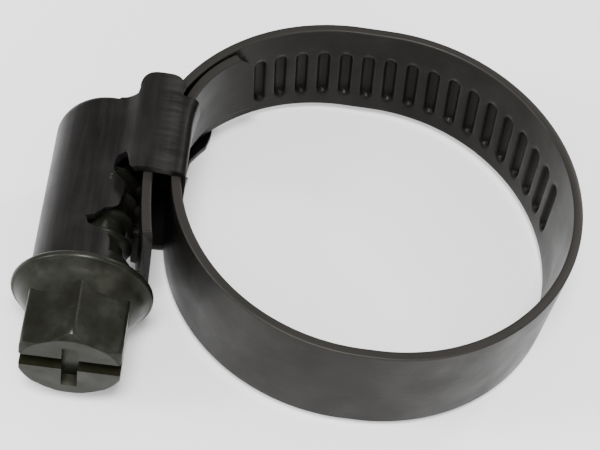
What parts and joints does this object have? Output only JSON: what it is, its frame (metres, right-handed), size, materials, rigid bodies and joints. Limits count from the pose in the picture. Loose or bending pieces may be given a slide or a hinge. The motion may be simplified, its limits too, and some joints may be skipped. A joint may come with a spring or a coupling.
{
  "type": "worm-drive hose clamp",
  "caption": "Worm-drive hose clamp: a ribbed steel band runs round the hose and through a folded housing, and a flanged hexagon screw tightens it.",
  "frame": {"origin": "centre of the hose, at half the band's width", "axes": "+Z along the hose; the housing is on the -X side; the screw lies along Y with its hexagon head towards -Y"},
  "size_m": [0.0405, 0.0313, 0.0104],
  "materials": {
    "housing_steel": "worn, darkened pressed stainless steel, brushed along the tube",
    "band_steel": "satin rolled stainless strip, darkened, with bright cut edges",
    "screw_zinc": "zinc plated, slightly yellow, smeared and worn bright on the corners"
  },
  "bodies": {
    "root": {"housing": "housing_steel", "band_fixed_end": "band_steel"},
    "screw": {"worm_screw": "screw_zinc"},
    "tongue": {"band_tongue": "band_steel"},
    "threaded_end": {"band_threaded_end": "band_steel"},
    "tail": {"band_tail": "band_steel"},
    "front_1": {"band_front_1": "band_steel"},
    "front_2": {"band_front_2": "band_steel"},
    "front_3": {"band_front_3": "band_steel"},
    "front_4": {"band_front_4": "band_steel"},
    "front_5": {"band_front_5": "band_steel"},
    "front_6": {"band_front_6": "band_steel"},
    "front_7": {"band_front_7": "band_steel"},
    "rear_1": {"band_rear_1": "band_steel"},
    "rear_2": {"band_rear_2": "band_steel"},
    "rear_3": {"band_rear_3": "band_steel"},
    "rear_4": {"band_rear_4": "band_steel"},
    "rear_5": {"band_rear_5": "band_steel"},
    "rear_6": {"band_rear_6": "band_steel"}
  },
  "joints": [
    {"name": "screw_turn", "type": "hinge", "parent": "root", "child": "screw", "pos_m": [-0.0205, -0.0025, 0], "axis": [0, 1, 0], "range_deg": [0, 1080]},
    {"name": "threaded_end_travel", "type": "hinge", "parent": "root", "child": "threaded_end", "pos_m": [-0.0023, -0.0003, 0], "axis": [0, 0, 1], "range_deg": [0, 21.14]},
    {"name": "tail_bend", "type": "hinge", "parent": "threaded_end", "child": "tail", "pos_m": [-0.01675, -0.0003, 0], "axis": [0, 0, 1], "range_deg": [0, 12.01]},
    {"name": "tongue_bend", "type": "hinge", "parent": "root", "child": "tongue", "pos_m": [-0.014, 0.00641, 0], "axis": [0, 0, -1], "range_deg": [0, 7.21]},
    {"name": "front_1_bend", "type": "hinge", "parent": "root", "child": "front_1", "pos_m": [-0.0134, -0.0064, 0], "axis": [0, 0, 1], "range_deg": [0, 5.04]},
    {"name": "front_2_bend", "type": "hinge", "parent": "front_1", "child": "front_2", "pos_m": [-0.00987, -0.01092, 0], "axis": [0, 0, 1], "range_deg": [0, 0.605]},
    {"name": "front_3_bend", "type": "hinge", "parent": "front_2", "child": "front_3", "pos_m": [-0.0048, -0.01362, 0], "axis": [0, 0, 1], "range_deg": [0, 0.605]},
    {"name": "front_4_bend", "type": "hinge", "parent": "front_3", "child": "front_4", "pos_m": [0.00246, -0.01394, 0], "axis": [0, 0, 1], "range_deg": [0, 0.605]},
    {"name": "front_5_bend", "type": "hinge", "parent": "front_4", "child": "front_5", "pos_m": [0.00832, -0.01145, 0], "axis": [0, 0, 1], "range_deg": [0, 0.605]},
    {"name": "front_6_bend", "type": "hinge", "parent": "front_5", "child": "front_6", "pos_m": [0.01225, -0.00708, 0], "axis": [0, 0, 1], "range_deg": [0, 1.69]},
    {"name": "front_7_bend", "type": "hinge", "parent": "front_6", "child": "front_7", "pos_m": [0.01384, -0.00294, 0], "axis": [0, 0, 1], "range_deg": [0, 3.96]},
    {"name": "rear_1_bend", "type": "hinge", "parent": "threaded_end", "child": "rear_1", "pos_m": [-0.01299, 0.00942, 0], "axis": [0, 0, -1], "range_deg": [0, 4.45]},
    {"name": "rear_2_bend", "type": "hinge", "parent": "rear_1", "child": "rear_2", "pos_m": [-0.00877, 0.01262, 0], "axis": [0, 0, -1], "range_deg": [0, 0.605]},
    {"name": "rear_3_bend", "type": "hinge", "parent": "rear_2", "child": "rear_3", "pos_m": [-0.00367, 0.01408, 0], "axis": [0, 0, -1], "range_deg": [0, 0.605]},
    {"name": "rear_4_bend", "type": "hinge", "parent": "rear_3", "child": "rear_4", "pos_m": [0.00345, 0.01372, 0], "axis": [0, 0, -1], "range_deg": [0, 0.605]},
    {"name": "rear_5_bend", "type": "hinge", "parent": "rear_4", "child": "rear_5", "pos_m": [0.00826, 0.01149, 0], "axis": [0, 0, -1], "range_deg": [0, 0.605]},
    {"name": "rear_6_bend", "type": "hinge", "parent": "rear_5", "child": "rear_6", "pos_m": [0.0119, 0.00765, 0], "axis": [0, 0, -1], "range_deg": [0, 0.605]}
  ],
  "couplings": [
    {"joint": "threaded_end_travel", "follows": "screw_turn", "ratio": 0.019572},
    {"joint": "tail_bend", "follows": "screw_turn", "ratio": 0.011111},
    {"joint": "tongue_bend", "follows": "screw_turn", "ratio": 0.0066667},
    {"joint": "front_1_bend", "follows": "screw_turn", "ratio": 0.0046667},
    {"joint": "front_2_bend", "follows": "screw_turn", "ratio": 0.00055556},
    {"joint": "front_3_bend", "follows": "screw_turn", "ratio": 0.00055556},
    {"joint": "front_4_bend", "follows": "screw_turn", "ratio": 0.00055556},
    {"joint": "front_5_bend", "follows": "screw_turn", "ratio": 0.00055556},
    {"joint": "front_6_bend", "follows": "screw_turn", "ratio": 0.0015556},
    {"joint": "front_7_bend", "follows": "screw_turn", "ratio": 0.0036667},
    {"joint": "rear_1_bend", "follows": "screw_turn", "ratio": 0.0041111},
    {"joint": "rear_2_bend", "follows": "screw_turn", "ratio": 0.00055556},
    {"joint": "rear_3_bend", "follows": "screw_turn", "ratio": 0.00055556},
    {"joint": "rear_4_bend", "follows": "screw_turn", "ratio": 0.00055556},
    {"joint": "rear_5_bend", "follows": "screw_turn", "ratio": 0.00055556},
    {"joint": "rear_6_bend", "follows": "screw_turn", "ratio": 0.00055556}
  ]
}
